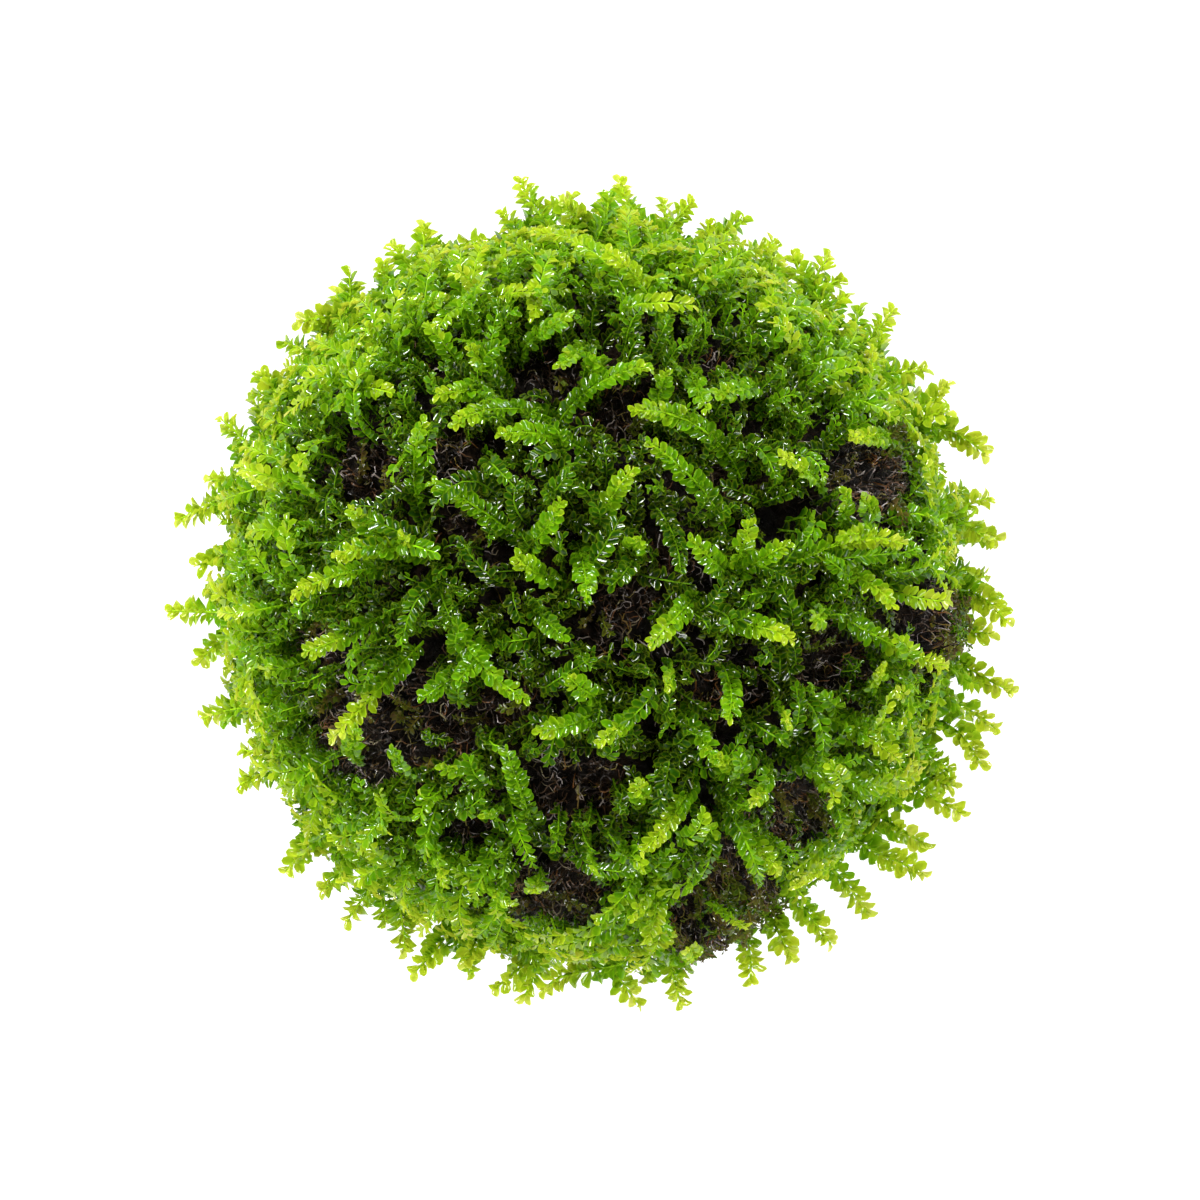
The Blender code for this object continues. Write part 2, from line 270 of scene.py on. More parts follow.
FINE_LEAF = leaf_of_rows((0.22, 0.56, 0.86), (0.62, 1.0, 0.78))
PLAIN_LEAF = leaf_of_rows((0.36, 0.80), (0.86, 0.90))
SMALL_LEAF = Leaf(
    (
        (0.0, 0.0, 0.3), (0.45, -1.0, 1.0), (0.5, 0.0, 0.0),
        (0.45, 1.0, 1.0), (0.96, -0.42, 1.0), (0.96, 0.42, 1.0),
    ),
    ((0, 2, 1), (0, 3, 2), (1, 2, 4), (2, 5, 4), (2, 3, 5)),
)


CELL_MARGIN = 0.06  # the part of a UV cell's width that is left free on each side


class Sheaf:
    """The growing mesh of one piece: points, triangles and what the materials read at each point."""

    def __init__(self):
        self.points, self.faces, self.cells = [], [], []
        self.looks = {"tone": [], "edge": [], "stem": [], "dry": []}
        self.count = 0
        self.cell_count = 0

    def add(self, points, faces, cells, **looks):
        """points is (n, 3), faces index them, and cells is each point's UV cell and place in it (n, 3)."""
        self.points.append(points)
        self.faces.append(faces + self.count)
        self.cells.append(cells + np.array((self.cell_count, 0.0, 0.0)))
        for name, kept in self.looks.items():
            kept.append(np.broadcast_to(looks.get(name, 0.0), len(points)))
        self.count += len(points)
        self.cell_count += int(cells[:, 0].max()) + 1

    def build(self, name, material):
        points = np.concatenate(self.points) + CENTRE
        low = points[:, 2] < FLOOR_SQUEEZE
        squeezed = FLOOR_SQUEEZE * np.exp((points[low, 2] - FLOOR_SQUEEZE) / FLOOR_SQUEEZE)
        points[low, 2] = np.maximum(squeezed, FLOOR_FILM)
        faces = np.concatenate(self.faces)
        cells = np.concatenate(self.cells)
        across = math.ceil(math.sqrt(self.cell_count))
        inset = CELL_MARGIN + (1 - 2 * CELL_MARGIN) * cells[:, 1:]
        spots = np.column_stack((cells[:, 0] % across, cells[:, 0] // across))
        uv = (spots + inset) / across
        mesh = bpy.data.meshes.new(name)
        mesh.from_pydata(points, [], faces)
        mesh.polygons.foreach_set("use_smooth", np.ones(len(faces), bool))
        layer = mesh.uv_layers.new(name="OFBake")
        layer.data.foreach_set("uv", uv[faces.ravel()].astype(np.float32).ravel())
        for label, values in self.looks.items():
            attribute = mesh.attributes.new(label, "FLOAT", "POINT")
            attribute.data.foreach_set("value", np.concatenate(values).astype(np.float32))
        mesh.materials.append(material)
        piece = bpy.data.objects.new(name, mesh)
        bpy.context.collection.objects.link(piece)
        return piece


def strip(line, widths, sideways):
    """Points, triangles and UV places of a flat thread along a line."""
    half = sideways * widths[:, None] / 2
    points = np.stack((line - half, line + half), axis=1)
    corner = np.arange(len(line) - 1) * 2
    faces = np.concatenate((
        np.column_stack((corner, corner + 1, corner + 3)),
        np.column_stack((corner, corner + 3, corner + 2)),
    ))
    v, u = np.meshgrid(np.linspace(0, 1, len(line)), (0.0, 1.0), indexing="ij")
    cells = np.column_stack((np.zeros(u.size), u.ravel(), v.ravel()))
    return points.reshape(-1, 3), faces, cells


def tube(line, radii, sides):
    """Points, triangles and UV places of a tube along a line. Its seam is open, so that it can unroll."""
    along = unit(np.gradient(line, axis=0))
    side = unit(np.cross(along, np.array((0.31, 0.17, 0.94))))
    other = np.cross(along, side)
    turns = np.linspace(0, 2 * math.pi, sides + 1)
    cosines, sines = np.cos(turns)[None, :, None], np.sin(turns)[None, :, None]
    ring = cosines * side[:, None, :] + sines * other[:, None, :]
    points = line[:, None, :] + ring * radii[:, None, None]
    rows, columns = points.shape[:2]
    corner = (np.arange(rows - 1)[:, None] * columns + np.arange(columns - 1)[None, :]).ravel()
    faces = np.concatenate((
        np.column_stack((corner, corner + 1, corner + columns + 1)),
        np.column_stack((corner, corner + columns + 1, corner + columns)),
    ))
    v, u = np.meshgrid(np.linspace(0, 1, rows), np.linspace(0, 1, columns), indexing="ij")
    cells = np.column_stack((np.zeros(u.size), u.ravel(), v.ravel()))
    return points.reshape(-1, 3), faces, cells


# ---------------------------------------------------------------- shoots

CURVE_STEPS = np.linspace(0, 1, 26)[:, None]


def bezier(a, b, c, d):
    """Points along the cubic curve from a to d that is drawn towards b and c."""
    t = CURVE_STEPS
    return (1 - t) ** 3 * a + 3 * (1 - t) ** 2 * t * b + 3 * (1 - t) * t * t * c + t ** 3 * d


def grow(sheaf, curve, flat_up, size, freshness_and_painted_light, bushy, shape, dry=0.0):
    """Adds one shoot along a curve, with its stem and two ranks of leaves.

    flat_up is the way that the shoot's face looks, with one row for each point of the curve. size is its
    leaves' size, fresh their colour from 0, old and dark, to 1, which the callers also raise or lower as
    painted light and shade, bushy how far they leave their ranks, shape the leaf it is made of, and dry how
    withered it is.
    """
    steps = np.linalg.norm(np.diff(curve, axis=0), axis=1)
    run = np.concatenate(([0], np.cumsum(steps)))
    length = run[-1]
    leaf = LEAF_LENGTH * size
    pitch = leaf * LEAF_PITCH
    count = max(int(length * (1 - BARE_BASE) / pitch), 5)
    at = length * BARE_BASE + np.arange(count) * (length * (1 - BARE_BASE) / count)
    at = at + RNG.uniform(-0.12, 0.12, count) * pitch
    share = at / length
    base = np.column_stack([np.interp(at, run, curve[:, i]) for i in range(3)])
    tangents = unit(np.gradient(curve, axis=0))
    along = unit(np.column_stack([np.interp(at, run, tangents[:, i]) for i in range(3)]))
    face = np.column_stack([np.interp(at, run, flat_up[:, i]) for i in range(3)])
    face = unit(face - np.sum(face * along, axis=1, keepdims=True) * along)
    across = np.cross(along, face)

    # leaves go left and right in turn, each a little out of the plane of the shoot
    hand = np.where(np.arange(count) % 2, 1.0, -1.0)[:, None]
    lifted = RNG.normal(0.12, 0.16 + 0.60 * bushy, count)[:, None]
    outward = hand * across * np.cos(lifted) + face * np.sin(lifted)
    skyward = face * np.cos(lifted) - hand * across * np.sin(lifted)

    # they lean away from the stem, and the last ones close round the tip
    to_tip = np.clip((length - at) / (leaf * 1.1), 0, 1)[:, None]
    spread = np.radians(LEAF_SPREAD - LEAF_SPREAD_LOST * share[:, None]) * (0.30 + 0.70 * to_tip ** 0.7)
    spread = spread + RNG.normal(0, 0.08 + 0.12 * bushy, count)[:, None]
    heading = unit(along * np.cos(spread) + outward * np.sin(spread))
    normal = unit(skyward - np.sum(skyward * heading, axis=1, keepdims=True) * heading)
    tilt = hand * -LEAF_TILT + RNG.normal(0, 0.20 + 0.25 * bushy, count)[:, None]
    normal = normal * np.cos(tilt) + np.cross(heading, normal) * np.sin(tilt)
    sideways = np.cross(normal, heading)

    # each is cupped across and curled along
    swell = np.interp(share, (0, 0.22, 0.75, 1.0), (0.62, 1.0, 1.0, 0.74))
    long = leaf * swell * RNG.uniform(0.86, 1.10, count)
    wide = long * RNG.uniform(*LEAF_WIDTHS, count)
    cup = RNG.normal(LEAF_CUP, 0.08, count)
    curl = RNG.normal(LEAF_CURL, 0.14 + 0.10 * bushy, count)
    rise = cup[:, None] * shape.across ** 2 - curl[:, None] * shape.along ** 2
    points = (
        base[:, None, :]
        + heading[:, None, :] * (long[:, None] * shape.along + LEAF_GAP)[:, :, None]
        + sideways[:, None, :] * (wide[:, None] / 2 * shape.across)[:, :, None]
        + normal[:, None, :] * (long[:, None] * rise)[:, :, None]
    )
    # and each is paler the nearer it is to the tip, as young leaves are, and paler the farther out of the
    # ball, which is partly the old leaves' darker colour deep in the mass and partly painted shade of the
    # depth
    outer = np.clip((np.linalg.norm(base, axis=1) - PEAT_RADIUS) / (5.0 * MM), 0, 1)
    tone = 0.14 * outer + 0.82 * freshness_and_painted_light * (0.42 + 0.50 * share) + RNG.normal(0, 0.05, count)
    tone = np.clip(tone, 0, 1)
    corners = len(shape.along)
    faces = (shape.faces[None] + (np.arange(count) * corners)[:, None, None]).reshape(-1, 3)
    cells = np.empty((count, corners, 3))
    cells[:, :, 0] = np.arange(count)[:, None]
    cells[:, :, 1] = 0.5 + 0.5 * shape.across
    cells[:, :, 2] = shape.along
    sheaf.add(
        points.reshape(-1, 3), faces, cells.reshape(-1, 3), tone=np.repeat(tone, corners),
        edge=np.tile(shape.edge, count), dry=np.repeat(dry * RNG.uniform(0.4, 1.0, count), corners),
    )

    step, sides = (2, 4) if shape is FINE_LEAF else (5, 3)
    line = curve[::step]
    radii = np.linspace(*STEM_RADII, len(line)) * size
    points, faces, cells = tube(line, radii, sides)
    tones = np.repeat(0.15 + 0.75 * freshness_and_painted_light * np.linspace(0.4, 1, len(line)), sides + 1)
    sheaf.add(points, faces, cells, tone=tones, stem=1.0, dry=dry)


def grow_frond(sheaf, curve, flat_up, size, freshness_and_painted_light, bushy):
    """A shoot that stands out: its leaves are finely made, and small ones line the top of its stem."""
    grow(sheaf, curve, flat_up, size, freshness_and_painted_light, bushy, FINE_LEAF)
    raised = curve + flat_up * 0.22 * MM * size
    steep = unit(flat_up + 0.55 * np.cross(np.gradient(curve, axis=0) / (0.4 * MM), flat_up))
    grow(sheaf, raised, steep, size * TOP_LEAVES, freshness_and_painted_light, 1.0, SMALL_LEAF)


tuft_ways = unit(np.array([(sum(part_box(name), Vector()) / 2) - Vector(CENTRE) for name in TUFT_NODES]))
sheaves = {name: Sheaf() for name in TUFT_NODES}


def sheaf_near(point):
    """The sheaf of the tuft that a shoot rooted here belongs to."""
    return sheaves[TUFT_NODES[int(np.argmax(tuft_ways @ unit(point)))]]


def rooted(direction):
    """The point where a shoot with this direction leaves the peat."""
    return unit(direction) * (ground(unit(direction)) - ROOT_DEPTH)


def rolled(face, along, roll):
    """The frond's face, turned about its stem."""
    return face * math.cos(roll) + np.cross(unit(along), face) * math.sin(roll)


def grow_rim_shoot(tip_x, tip_y, base_x, base_y, freshness_and_painted_light=0.98):
    """A shoot at the rim. It comes out of the ball's shoulder and spreads level past the ball's edge."""
    tip_flat, base_flat = np.array((tip_x, tip_y)), np.array((base_x, base_y))
    tip = np.array((*tip_flat, RNG.uniform(*RIM_HEIGHTS))) * MM
    tip[:2] *= 1 - tip[2] / CAMERA_DISTANCE
    inward = unit(base_flat - tip_flat)
    tip[:2] += inward * TIP_INSET
    root_flat = base_flat + inward * RNG.uniform(0.5, 2.0)
    start = seen_at(*root_flat, 32.5 * MM)
    root = rooted(np.array((*start[:2], min(start[2], tip[2] + 5 * MM))))
    level = np.array((*-inward, 0.0))
    reach = np.linalg.norm(tip - root)
    side = np.cross(UP, level)
    bow = side * RNG.normal(0, 0.07) * reach
    shoulder = root + unit(root) * reach * 0.36 + bow
    curve = bezier(root, shoulder, tip - level * reach * 0.36 + UP * 0.8 * MM + bow, tip)
    face = rolled(UP, level, RNG.normal(0, ROLL))
    size = RNG.uniform(*RIM_SIZES)
    grow_frond(sheaf_near(root), curve, np.tile(face, (len(curve), 1)), size, freshness_and_painted_light, 0.05)


def grow_face_shoot(tip_x, tip_y, root_x, root_y, bow, freshness_and_painted_light):
    """A shoot that arches over the face of the ball, with its frond laid open to the outside."""
    root = rooted(seen_at(root_x, root_y, 33.5 * MM))
    reach = math.hypot(tip_x - root_x, tip_y - root_y)
    tip = seen_at(tip_x, tip_y, (37.2 + 1.6 * freshness_and_painted_light) * MM)
    chord = tip - root
    outward = unit(root + tip)
    left = unit(np.cross(outward, chord))
    lift = outward * min(1.4 + 0.16 * reach, 3.2) * MM
    aside = left * bow * 1.33 * MM
    curve = bezier(root, root + chord * 0.25 + lift + aside, root + chord * 0.72 + lift * 0.55 + aside, tip)
    face = unit(curve)
    face = unit(face + 0.35 * UP)
    roll = RNG.normal(0, ROLL)
    face = np.array([rolled(f, chord, roll) for f in face])
    size = 0.72 + 0.12 * freshness_and_painted_light
    # painted shade: shoots whose tips lie near the middle of the picture, on the top of the ball, are made
    # darker
    freshness_and_painted_light *= np.interp(math.hypot(tip_x, tip_y), (0, 28), (0.69, 1.0))
    grow_frond(sheaf_near(root), curve, face, size, freshness_and_painted_light, 0.20)


def grow_fill_shoot(way, heading, reach, high, size, freshness_and_painted_light, bushy, shape, dry=0.0, grown=PATCH_FOR_SHOOTS):
    """A shoot of the mass below. It is rooted in a direction and leans over towards a heading. None grows
    across a bare patch that is grown by the last factor, and a factor of 0 lets it grow anywhere."""
    root = rooted(way)
    start = np.linalg.norm(root)
    end = max(high, start + 0.6 * MM)
    angle = math.sqrt(max(reach * reach - (end - start) ** 2, (1.5 * MM) ** 2)) / MOSS_RADIUS
    tip_way = way * math.cos(angle) + heading * math.sin(angle)
    middle_way = way * math.cos(angle * 0.4) + heading * math.sin(angle * 0.4)
    aside = np.cross(way, heading) * RNG.normal(0, 0.10) * reach
    tip = tip_way * end
    rise = way * (end - start) * 0.7
    curve = bezier(root, root + rise + aside, middle_way * (end + 0.5 * MM) + aside, tip)
    if grown and on_bare_patch(curve[6::6], grown):
        return
    face = rolled(unit(unit(root + tip) + 0.3 * UP), heading, RNG.normal(0, 0.25 + 0.25 * bushy))
    grow(sheaf_near(root), curve, np.tile(face, (len(curve), 1)), size, freshness_and_painted_light, bushy, shape, dry)


def spiral_ways(count):
    """Evenly spread directions over the ball, from the bottom to the top."""
    rank = np.arange(count) + 0.5
    height = 2 * rank / count - 1
    ring = np.sqrt(1 - height * height)
    turn = rank * math.pi * (3 - math.sqrt(5))
    return np.column_stack((np.cos(turn) * ring, np.sin(turn) * ring, height))


def downhill(way, scatter):
    """A level heading at this place of the ball: down its side, turned by a chance angle."""
    down = unit((way @ UP) * way - UP)
    turn = RNG.normal(0, scatter)
    return down * math.cos(turn) + np.cross(way, down) * math.sin(turn)


# The share of its places where a shoot of the mass grows, for directions of these heights, from -1 to 1
KEPT_HEIGHTS = (-0.7, 0.0, 0.4, 0.75, 0.95)
KEPT_SHARES = (0.30, 0.62, 1.0, 0.90, 0.68)
BALD_LEVEL = 0.42  # the smaller this is, the more bald spots there are low on the ball

# What is added to the height of the moss, in millimetres, for directions of these heights
CROWN_HEIGHTS = (-0.5, -0.1, 0.2, 0.35, 0.5, 0.62)
CROWN_DROPS = (-0.5, -3.6, -4.6, -3.8, -2.0, 0.0)


def grow_fill():
    """The mass of the moss: shoots rooted all round, leaning down the sides of the ball. They are thickest in
    a belt round the part that faces the camera, and that part is more open and painted darker, as painted
    shade, while shoots at the ball's sides are painted paler, as painted light. Each is one of four kinds: a
    long spray, a plain shoot, a bushy one, or a dark one that fills the depth, whose darkness is partly the
    colour of old moss and partly painted shade."""
    for way in spiral_ways(FILL_COUNT):
        way = unit(way + RNG.normal(0, 0.03, 3))
        kept = np.interp(way[2], KEPT_HEIGHTS, KEPT_SHARES)
        bald = noise.noise(Vector(way) * 3.1 + Vector((9.0, 2.0, 5.0)))
        if RNG.uniform() > kept or (way[2] < 0.15 and bald > BALD_LEVEL):
            continue
        heading = downhill(way, np.interp(way[2], (0.2, 0.9), (0.8, 2.0)))
        kind = RNG.uniform()
        # how far the place is towards the ball's side, which sets the painted light added to shoots there
        rim = 1 - abs(way[2])
        if on_bare_patch((way * PATCH_RADIUS)[None], PATCH_FOR_ROOTS):
            if kind < np.interp(way[2], (0.2, 0.6), (1.0, LITTER_SHARE)):
                grow_litter(way, heading)
            continue
        swell = 2.0 * noise.noise(Vector(way) * 5.0)
        crown = np.interp(way[2], CROWN_HEIGHTS, CROWN_DROPS) + swell
        spray = np.interp(way[2], (0.4, 0.85), (0.24, 0.03))
        if kind < spray:
            high = RNG.uniform(36.8, 38.6) + crown * 0.9
            reach, bushy = RNG.uniform(7.0, 10.0), 0.15
            freshness_and_painted_light, painted_side_light, size, shape = 0.72, 1.0, RNG.uniform(0.68, 0.84), PLAIN_LEAF
        elif kind < spray + 0.14:
            high = RNG.uniform(36.0, 38.0) + crown
            reach, bushy = RNG.uniform(5.5, 8.0), RNG.uniform(0.1, 0.4)
            freshness_and_painted_light, painted_side_light, size, shape = 0.58, 1.0, RNG.uniform(0.64, 0.80), PLAIN_LEAF
        elif kind < np.interp(way[2], (0.6, 0.95), (0.68, 0.50)):
            high = RNG.uniform(35.4, 37.6) + crown
            reach, bushy = RNG.uniform(3.8, 5.6), RNG.uniform(0.5, 1.0)
            freshness_and_painted_light, painted_side_light, size, shape = 0.40, 0.6, RNG.uniform(0.48, 0.64), SMALL_LEAF
        else:
            high = RNG.uniform(34.0, 35.6) + min(crown, 0.0)
            reach, bushy = RNG.uniform(3.5, 6.0), RNG.uniform(0.1, 0.7)
            freshness_and_painted_light, painted_side_light, size, shape = 0.08, 0.3, RNG.uniform(0.56, 0.72), SMALL_LEAF
        # painted light and shade: shoots that face the camera are made darker, and shoots at the ball's sides
        # paler, by each kind's share of painted side light
        freshness_and_painted_light = freshness_and_painted_light * (1 - 0.78 * way[2] ** 2) + painted_side_light * rim + RNG.normal(0, 0.08)
        freshness_and_painted_light = min(max(freshness_and_painted_light, 0.03), 1.0)
        grow_fill_shoot(way, heading, reach * MM, high * MM, size, freshness_and_painted_light, bushy, shape)


def grow_litter(way, heading):
    """Short and partly withered shoots on a bare patch. They are longer at the ball's edge."""
    for _ in range(2 if way[2] < 0.45 else 1):
        place = unit(way + RNG.normal(0, 0.02, 3))
        high = RNG.uniform(33.2, np.interp(way[2], (0.2, 0.6), (36.0, 34.2)))
        reach, bushy = RNG.uniform(1.8, 3.6), RNG.uniform(0.4, 1.0)
        freshness_and_painted_light, size, dry = RNG.uniform(0.1, 0.5), RNG.uniform(0.34, 0.54), RNG.choice((0.0, 0.6, 1.0, 1.0))
        grow_fill_shoot(place, heading, reach * MM, high * MM, size, freshness_and_painted_light, bushy, SMALL_LEAF, dry, 0.0)


def grow_fringe():
    """Shoots between the listed ones round the rim, a little shorter than they are."""
    turns = (np.arange(FRINGE_COUNT) + RNG.uniform(-0.4, 0.4, FRINGE_COUNT)) * 2 * math.pi / FRINGE_COUNT
    for turn in turns:
        tip, base, lean = RNG.uniform(*FRINGE_TIPS), RNG.uniform(*FRINGE_BASES), RNG.normal(0, 0.06)
        tip_flat = tip * np.array((math.cos(turn + lean), math.sin(turn + lean)))
        base_flat = base * np.array((math.cos(turn), math.sin(turn)))
        if not on_bare_patch(np.array(((*base_flat, 0.0), (*(tip_flat * 0.94), 0.0))) * MM, PATCH_FOR_FRINGE):
            grow_rim_shoot(*tip_flat, *base_flat, RNG.uniform(0.75, 0.98))


# ---------------------------------------------------------------- materials


class Nodes:
    """A material's nodes, made and wired by short calls."""

    def __init__(self, name):
        self.material = bpy.data.materials.new(name)
        self.material.use_nodes = True
        self.tree = self.material.node_tree
        self.shader = self.tree.nodes["Principled BSDF"]
        self.output = self.tree.nodes["Material Output"]

    def add(self, kind, settings=(), **inputs):
        node = self.tree.nodes.new(kind)
        for label, value in dict(settings).items():
            setattr(node, label, value)
        for label, value in inputs.items():
            self.set(node, label.replace("_", " "), value)
        return node

    def set(self, node, label, value):
        if isinstance(value, bpy.types.NodeSocket):
            self.tree.links.new(value, node.inputs[label])
        else:
            node.inputs[label].default_value = value

    def attribute(self, name):
        return self.add("ShaderNodeAttribute", {"attribute_name": name}).outputs["Fac"]

    def noise(self, scale, detail=4.0, roughness=0.6):
        place = self.add("ShaderNodeTexCoord").outputs["Object"]
        node = self.add("ShaderNodeTexNoise", Vector=place, Scale=scale, Detail=detail, Roughness=roughness)
        return node.outputs["Fac"]

    def ramp(self, factor, stops):
        node = self.add("ShaderNodeValToRGB", Fac=factor)
        ramp = node.color_ramp
        while len(ramp.elements) < len(stops):
            ramp.elements.new(0.5)
        for element, (position, colour) in zip(ramp.elements, stops):
            element.position = position
            element.color = (*colour, 1.0)
        return node.outputs["Color"]

    def mix(self, factor, a, b, blend="MIX"):
        node = self.add("ShaderNodeMix", {"data_type": "RGBA", "blend_type": blend})
        self.set_socket(node.inputs[0], factor)
        self.set_socket(node.inputs[6], a)
        self.set_socket(node.inputs[7], b)
        return node.outputs[2]

    def maths(self, operation, a, b):
        node = self.add("ShaderNodeMath", {"operation": operation})
        self.set_socket(node.inputs[0], a)
        self.set_socket(node.inputs[1], b)
        return node.outputs[0]

    def set_socket(self, socket, value):
        if isinstance(value, bpy.types.NodeSocket):
            self.tree.links.new(value, socket)
        elif socket.type == "RGBA":
            socket.default_value = (*value, 1.0)
        else:
            socket.default_value = value

    def bump(self, height, strength, distance):
        node = self.add("ShaderNodeBump", Height=height, Strength=strength, Distance=distance)
        return node.outputs["Normal"]


def leaf_material():
    """Wet, thin leaves: deep green inside the ball, partly as painted shade, yellow-green at the tips, lit
    through from behind.
    """
    n = Nodes("moss_leaf")
    tone = n.attribute("tone")
    mottle = n.noise(900.0, 3.0)
    shifted = n.maths("ADD", tone, n.maths("MULTIPLY", n.maths("SUBTRACT", mottle, 0.5), 0.30))
    blade = n.ramp(shifted, (
        (0.0, (0.004, 0.016, 0.0002)),
        (0.25, (0.015, 0.073, 0.0002)),
        (0.55, (0.096, 0.285, 0.0008)),
        (0.80, (0.300, 0.445, 0.0050)),
        (1.0, (0.480, 0.600, 0.0380)),
    ))
    edge = n.attribute("edge")
    rim = n.maths("MULTIPLY", n.maths("POWER", edge, 3.0), 0.85)
    pale = n.mix(0.45, n.mix(1.0, blade, (1.9, 1.8, 3.0), "MULTIPLY"), (0.30, 0.43, 0.008))
    blade = n.mix(rim, blade, pale)
    stalk = n.ramp(tone, (
        (0.0, (0.03, 0.06, 0.004)),
        (0.45, (0.14, 0.32, 0.003)),
        (1.0, (0.32, 0.50, 0.008)),
    ))
    stem = n.attribute("stem")
    green = n.mix(stem, blade, stalk)
    withered = n.ramp(mottle, ((0.35, (0.040, 0.022, 0.006)), (0.65, (0.150, 0.130, 0.012))))
    colour = n.mix(n.attribute("dry"), green, withered)
    n.set(n.shader, "Base Color", colour)
    n.set(n.shader, "Roughness", n.ramp(mottle, ((0.3, (0.26,) * 3), (0.7, (0.42,) * 3))))
    n.set(n.shader, "Specular IOR Level", 0.03)
    n.set(n.shader, "Coat Weight", n.maths("MULTIPLY", n.maths("SUBTRACT", 1.0, stem), 0.9))
    n.set(n.shader, "Coat Roughness", 0.08)
    n.set(n.shader, "Normal", n.bump(n.noise(1500.0, 2.0), 0.7, 0.20 * MM))
    through = n.mix(1.0, colour, (1.75, 1.27, 6.0), "MULTIPLY")
    glow = n.add("ShaderNodeBsdfTranslucent", Color=through)
    share = n.maths("MULTIPLY", n.maths("SUBTRACT", 1.0, stem), 0.50)
    both = n.add("ShaderNodeMixShader")
    n.set_socket(both.inputs[0], share)
    n.set_socket(both.inputs[1], n.shader.outputs[0])
    n.set_socket(both.inputs[2], glow.outputs[0])
    n.set_socket(n.output.inputs["Surface"], both.outputs[0])
    return n.material


def peat_material():
    """Wet black-brown peat, crumbly and uneven, with glints where water stands on it."""
    n = Nodes("wet_peat")
    broad, fine = n.noise(160.0, 5.0), n.noise(1100.0, 6.0, 0.75)
    blend = n.maths("ADD", n.maths("MULTIPLY", broad, 0.4), n.maths("MULTIPLY", fine, 0.6))
    n.set(n.shader, "Base Color", n.ramp(blend, (
        (0.38, (0.0008, 0.0005, 0.0003)),
        (0.50, (0.0035, 0.0020, 0.0010)),
        (0.58, (0.0140, 0.0070, 0.0028)),
        (0.70, (0.0450, 0.0210, 0.0070)),
    )))
    n.set(n.shader, "Specular IOR Level", 0.10)
    n.set(n.shader, "Roughness", n.ramp(fine, ((0.35, (0.18,) * 3), (0.65, (0.80,) * 3))))
    n.set(n.shader, "Normal", n.bump(n.noise(1900.0, 6.0, 0.8), 1.0, 0.7 * MM))
    return n.material


def rhizoid_material():
    """Threads from near-black brown through rust and olive to a bleached grey."""
    n = Nodes("rhizoid")
    tone = n.attribute("tone")
    n.set(n.shader, "Base Color", n.ramp(tone, (
        (0.0, (0.008, 0.005, 0.003)),
        (0.45, (0.040, 0.021, 0.010)),
        (0.60, (0.110, 0.042, 0.010)),
        (0.72, (0.105, 0.090, 0.014)),
        (0.84, (0.120, 0.092, 0.074)),
        (1.0, (0.260, 0.222, 0.215)),
    )))
    n.set(n.shader, "Specular IOR Level", 0.25)
    n.set(n.shader, "Roughness", n.ramp(n.noise(1200.0), ((0.3, (0.20,) * 3), (0.7, (0.55,) * 3))))
    n.set(n.shader, "Normal", n.bump(n.noise(3000.0), 0.3, 0.05 * MM))
    return n.material


# ---------------------------------------------------------------- the core

CORE_DETAIL = 7  # how many times the sphere behind the peat's surface is divided


def core_piece():
    """The peat: the CAD core's own shape, with crumbs and pits."""
    scratch = bpy.data.meshes.new("sphere")
    ball = bmesh.new()
    bmesh.ops.create_icosphere(ball, subdivisions=CORE_DETAIL, radius=1.0)
    ball.to_mesh(scratch)
    ball.free()
    ways = np.empty(len(scratch.vertices) * 3)
    scratch.vertices.foreach_get("co", ways)
    ways = unit(ways.reshape(-1, 3))
    radii = np.array([ground(way) for way in ways])
    points = ways * radii[:, None] + CENTRE
    points[:, 2] = np.maximum(points[:, 2], FLOOR_FILM)
    scratch.vertices.foreach_set("co", points.ravel())
    scratch.polygons.foreach_set("use_smooth", np.ones(len(scratch.polygons), bool))
    scratch.name = "peat"
    corners = np.empty(len(scratch.polygons) * 3, int)
    scratch.polygons.foreach_get("vertices", corners)
    unwrap(scratch, ways, corners.reshape(-1, 3))
    scratch.materials.append(peat_material())
    piece = bpy.data.objects.new("peat_surface", scratch)
    bpy.context.collection.objects.link(piece)
    return piece


SQUARE_MARGIN = 1.15  # the width of a square of the core's UV map, in the width of what is laid out in it


def unwrap(mesh, ways, corners):
    """A UV map of six squares, one for each way that the ball can face."""
    middle = ways[corners].sum(axis=1)
    axis = np.abs(middle).argmax(axis=1)
    sign = np.sign(np.take_along_axis(middle, axis[:, None], 1))[:, 0]
    square = axis * 2 + (sign > 0)
    aside = np.array(((1, 2), (2, 0), (0, 1)))[axis]
    rows = np.arange(len(corners))[:, None, None]
    points = ways[corners]
    depth = np.take_along_axis(points, np.broadcast_to(axis[:, None, None], (len(corners), 3, 1)), 2)
    flat = points[rows, np.arange(3)[None, :, None], aside[:, None, :]] / np.abs(depth)
    inside = (flat / SQUARE_MARGIN + 1) / 2
    uv = np.stack((
        (square % 3)[:, None] + inside[..., 0],
        (square // 3)[:, None] + inside[..., 1],
    ), axis=-1) / np.array((3.0, 2.0))
    mesh.uv_layers.new(name="OFBake").data.foreach_set("uv", uv.astype(np.float32).ravel())


def thread(way):
    """The line of a thread that wanders over the peat from a direction, in a loop, and where it ends."""
    heading = unit(np.cross(way, RNG.normal(0, 1, 3)))
    steps = int(RNG.integers(5, 9))
    stride = RNG.uniform(0.20, 0.42) * MM / PEAT_RADIUS
    bend = RNG.normal(0, 0.4)
    loft = RNG.uniform(0.1, 1.0) * MM
    line = []
    for step in range(steps):
        height = loft * math.sin(math.pi * step / (steps - 1)) + RNG.normal(0.05, 0.12) * MM
        line.append(way * (ground(way) + height))
        turn = bend + RNG.normal(0, 0.6)
        side = np.cross(way, heading)
        heading = heading * math.cos(turn) + side * math.sin(turn)
        way = unit(way + heading * stride)
        heading = unit(heading - (heading @ way) * way)
    return np.array(line), way


